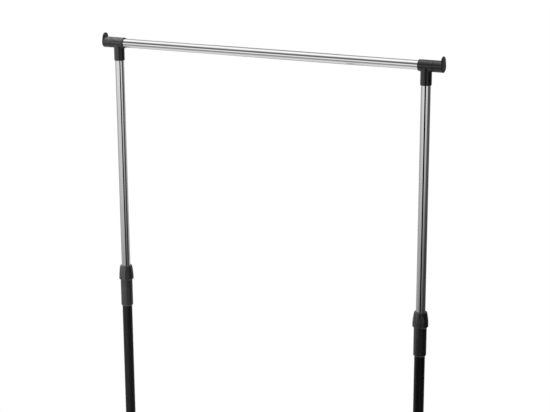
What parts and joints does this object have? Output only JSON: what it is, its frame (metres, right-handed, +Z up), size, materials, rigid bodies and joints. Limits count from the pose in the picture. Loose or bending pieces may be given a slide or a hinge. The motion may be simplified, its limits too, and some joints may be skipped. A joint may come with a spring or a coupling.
{
  "type": "clothing rack",
  "caption": "Telescopic clothing rack on swivel casters: chrome hanging rail with upturned end hooks on chrome posts, clamped by black twist locks over a black tube base.",
  "frame": {"origin": "on the floor, at the centre of the base, midway between the two posts", "axes": "+X along the rail to the right as seen from the front, +Y to the back, +Z up"},
  "size_m": [0.894, 0.444, 1.495],
  "materials": {
    "chrome": "bright chrome-plated steel tube",
    "moulded_plastic": "satin black moulded plastic",
    "powder_coat": "black powder-coated steel tube",
    "nylon": "dark nylon",
    "zinc_steel": "zinc-plated steel"
  },
  "bodies": {
    "base": {"left_lower_post": "powder_coat", "right_lower_post": "powder_coat", "left_lock_sleeve": "moulded_plastic", "right_lock_sleeve": "moulded_plastic", "left_collet": "nylon", "right_collet": "nylon", "left_foot_hub": "moulded_plastic", "right_foot_hub": "moulded_plastic", "left_foot_tube": "powder_coat", "right_foot_tube": "powder_coat", "left_hub_screw": "zinc_steel", "right_hub_screw": "zinc_steel", "front_base_bar": "powder_coat", "rear_base_bar": "powder_coat", "front_left_bar_joint": "moulded_plastic", "front_right_bar_joint": "moulded_plastic", "rear_left_bar_joint": "moulded_plastic", "rear_right_bar_joint": "moulded_plastic", "front_left_end_cap": "moulded_plastic", "front_right_end_cap": "moulded_plastic", "rear_left_end_cap": "moulded_plastic", "rear_right_end_cap": "moulded_plastic", "front_left_caster_stem": "zinc_steel", "front_right_caster_stem": "zinc_steel", "rear_left_caster_stem": "zinc_steel", "rear_right_caster_stem": "zinc_steel"},
    "upper_frame": {"hanging_rail": "chrome", "left_rail_connector": "moulded_plastic", "right_rail_connector": "moulded_plastic", "left_end_hook": "moulded_plastic", "right_end_hook": "moulded_plastic", "left_upper_post": "chrome", "right_upper_post": "chrome", "left_post_bush": "nylon", "right_post_bush": "nylon", "left_rail_screw": "zinc_steel", "right_rail_screw": "zinc_steel", "left_post_screw": "zinc_steel", "right_post_screw": "zinc_steel"},
    "left_nut": {"left_lock_nut": "moulded_plastic"},
    "right_nut": {"right_lock_nut": "moulded_plastic"},
    "front_left_caster": {"front_left_caster_hood": "moulded_plastic", "front_left_caster_axle": "zinc_steel"},
    "front_right_caster": {"front_right_caster_hood": "moulded_plastic", "front_right_caster_axle": "zinc_steel"},
    "rear_left_caster": {"rear_left_caster_hood": "moulded_plastic", "rear_left_caster_axle": "zinc_steel"},
    "rear_right_caster": {"rear_right_caster_hood": "moulded_plastic", "rear_right_caster_axle": "zinc_steel"},
    "front_left_wheel_outer": {"front_left_outer_wheel": "nylon"},
    "front_left_wheel_inner": {"front_left_inner_wheel": "nylon"},
    "front_right_wheel_outer": {"front_right_outer_wheel": "nylon"},
    "front_right_wheel_inner": {"front_right_inner_wheel": "nylon"},
    "rear_left_wheel_outer": {"rear_left_outer_wheel": "nylon"},
    "rear_left_wheel_inner": {"rear_left_inner_wheel": "nylon"},
    "rear_right_wheel_outer": {"rear_right_outer_wheel": "nylon"},
    "rear_right_wheel_inner": {"rear_right_inner_wheel": "nylon"}
  },
  "joints": [
    {"name": "height_slide", "type": "slide", "parent": "base", "child": "upper_frame", "axis": [0, 0, 1], "range_m": [-0.52, 0.13]},
    {"name": "left_nut_turn", "type": "hinge", "parent": "base", "child": "left_nut", "pos_m": [-0.405, 0, 0.88145], "axis": [0, 0, 1], "range_deg": [0, 180]},
    {"name": "right_nut_turn", "type": "hinge", "parent": "base", "child": "right_nut", "pos_m": [0.405, 0, 0.88145], "axis": [0, 0, 1], "range_deg": [0, 180]},
    {"name": "front_left_swivel", "type": "hinge", "parent": "base", "child": "front_left_caster", "pos_m": [-0.405, -0.206, 0.058], "axis": [0, 0, 1], "continuous": true},
    {"name": "front_right_swivel", "type": "hinge", "parent": "base", "child": "front_right_caster", "pos_m": [0.405, -0.206, 0.058], "axis": [0, 0, 1], "continuous": true},
    {"name": "rear_left_swivel", "type": "hinge", "parent": "base", "child": "rear_left_caster", "pos_m": [-0.405, 0.206, 0.058], "axis": [0, 0, 1], "continuous": true},
    {"name": "rear_right_swivel", "type": "hinge", "parent": "base", "child": "rear_right_caster", "pos_m": [0.405, 0.206, 0.058], "axis": [0, 0, 1], "continuous": true},
    {"name": "front_left_outer_roll", "type": "hinge", "parent": "front_left_caster", "child": "front_left_wheel_outer", "pos_m": [-0.418, -0.186, 0.025], "axis": [1, 0, 0], "continuous": true},
    {"name": "front_left_inner_roll", "type": "hinge", "parent": "front_left_caster", "child": "front_left_wheel_inner", "pos_m": [-0.392, -0.186, 0.025], "axis": [1, 0, 0], "continuous": true},
    {"name": "front_right_outer_roll", "type": "hinge", "parent": "front_right_caster", "child": "front_right_wheel_outer", "pos_m": [0.418, -0.186, 0.025], "axis": [1, 0, 0], "continuous": true},
    {"name": "front_right_inner_roll", "type": "hinge", "parent": "front_right_caster", "child": "front_right_wheel_inner", "pos_m": [0.392, -0.186, 0.025], "axis": [1, 0, 0], "continuous": true},
    {"name": "rear_left_outer_roll", "type": "hinge", "parent": "rear_left_caster", "child": "rear_left_wheel_outer", "pos_m": [-0.418, 0.186, 0.025], "axis": [1, 0, 0], "continuous": true},
    {"name": "rear_left_inner_roll", "type": "hinge", "parent": "rear_left_caster", "child": "rear_left_wheel_inner", "pos_m": [-0.392, 0.186, 0.025], "axis": [1, 0, 0], "continuous": true},
    {"name": "rear_right_outer_roll", "type": "hinge", "parent": "rear_right_caster", "child": "rear_right_wheel_outer", "pos_m": [0.418, 0.186, 0.025], "axis": [1, 0, 0], "continuous": true},
    {"name": "rear_right_inner_roll", "type": "hinge", "parent": "rear_right_caster", "child": "rear_right_wheel_inner", "pos_m": [0.392, 0.186, 0.025], "axis": [1, 0, 0], "continuous": true}
  ]
}
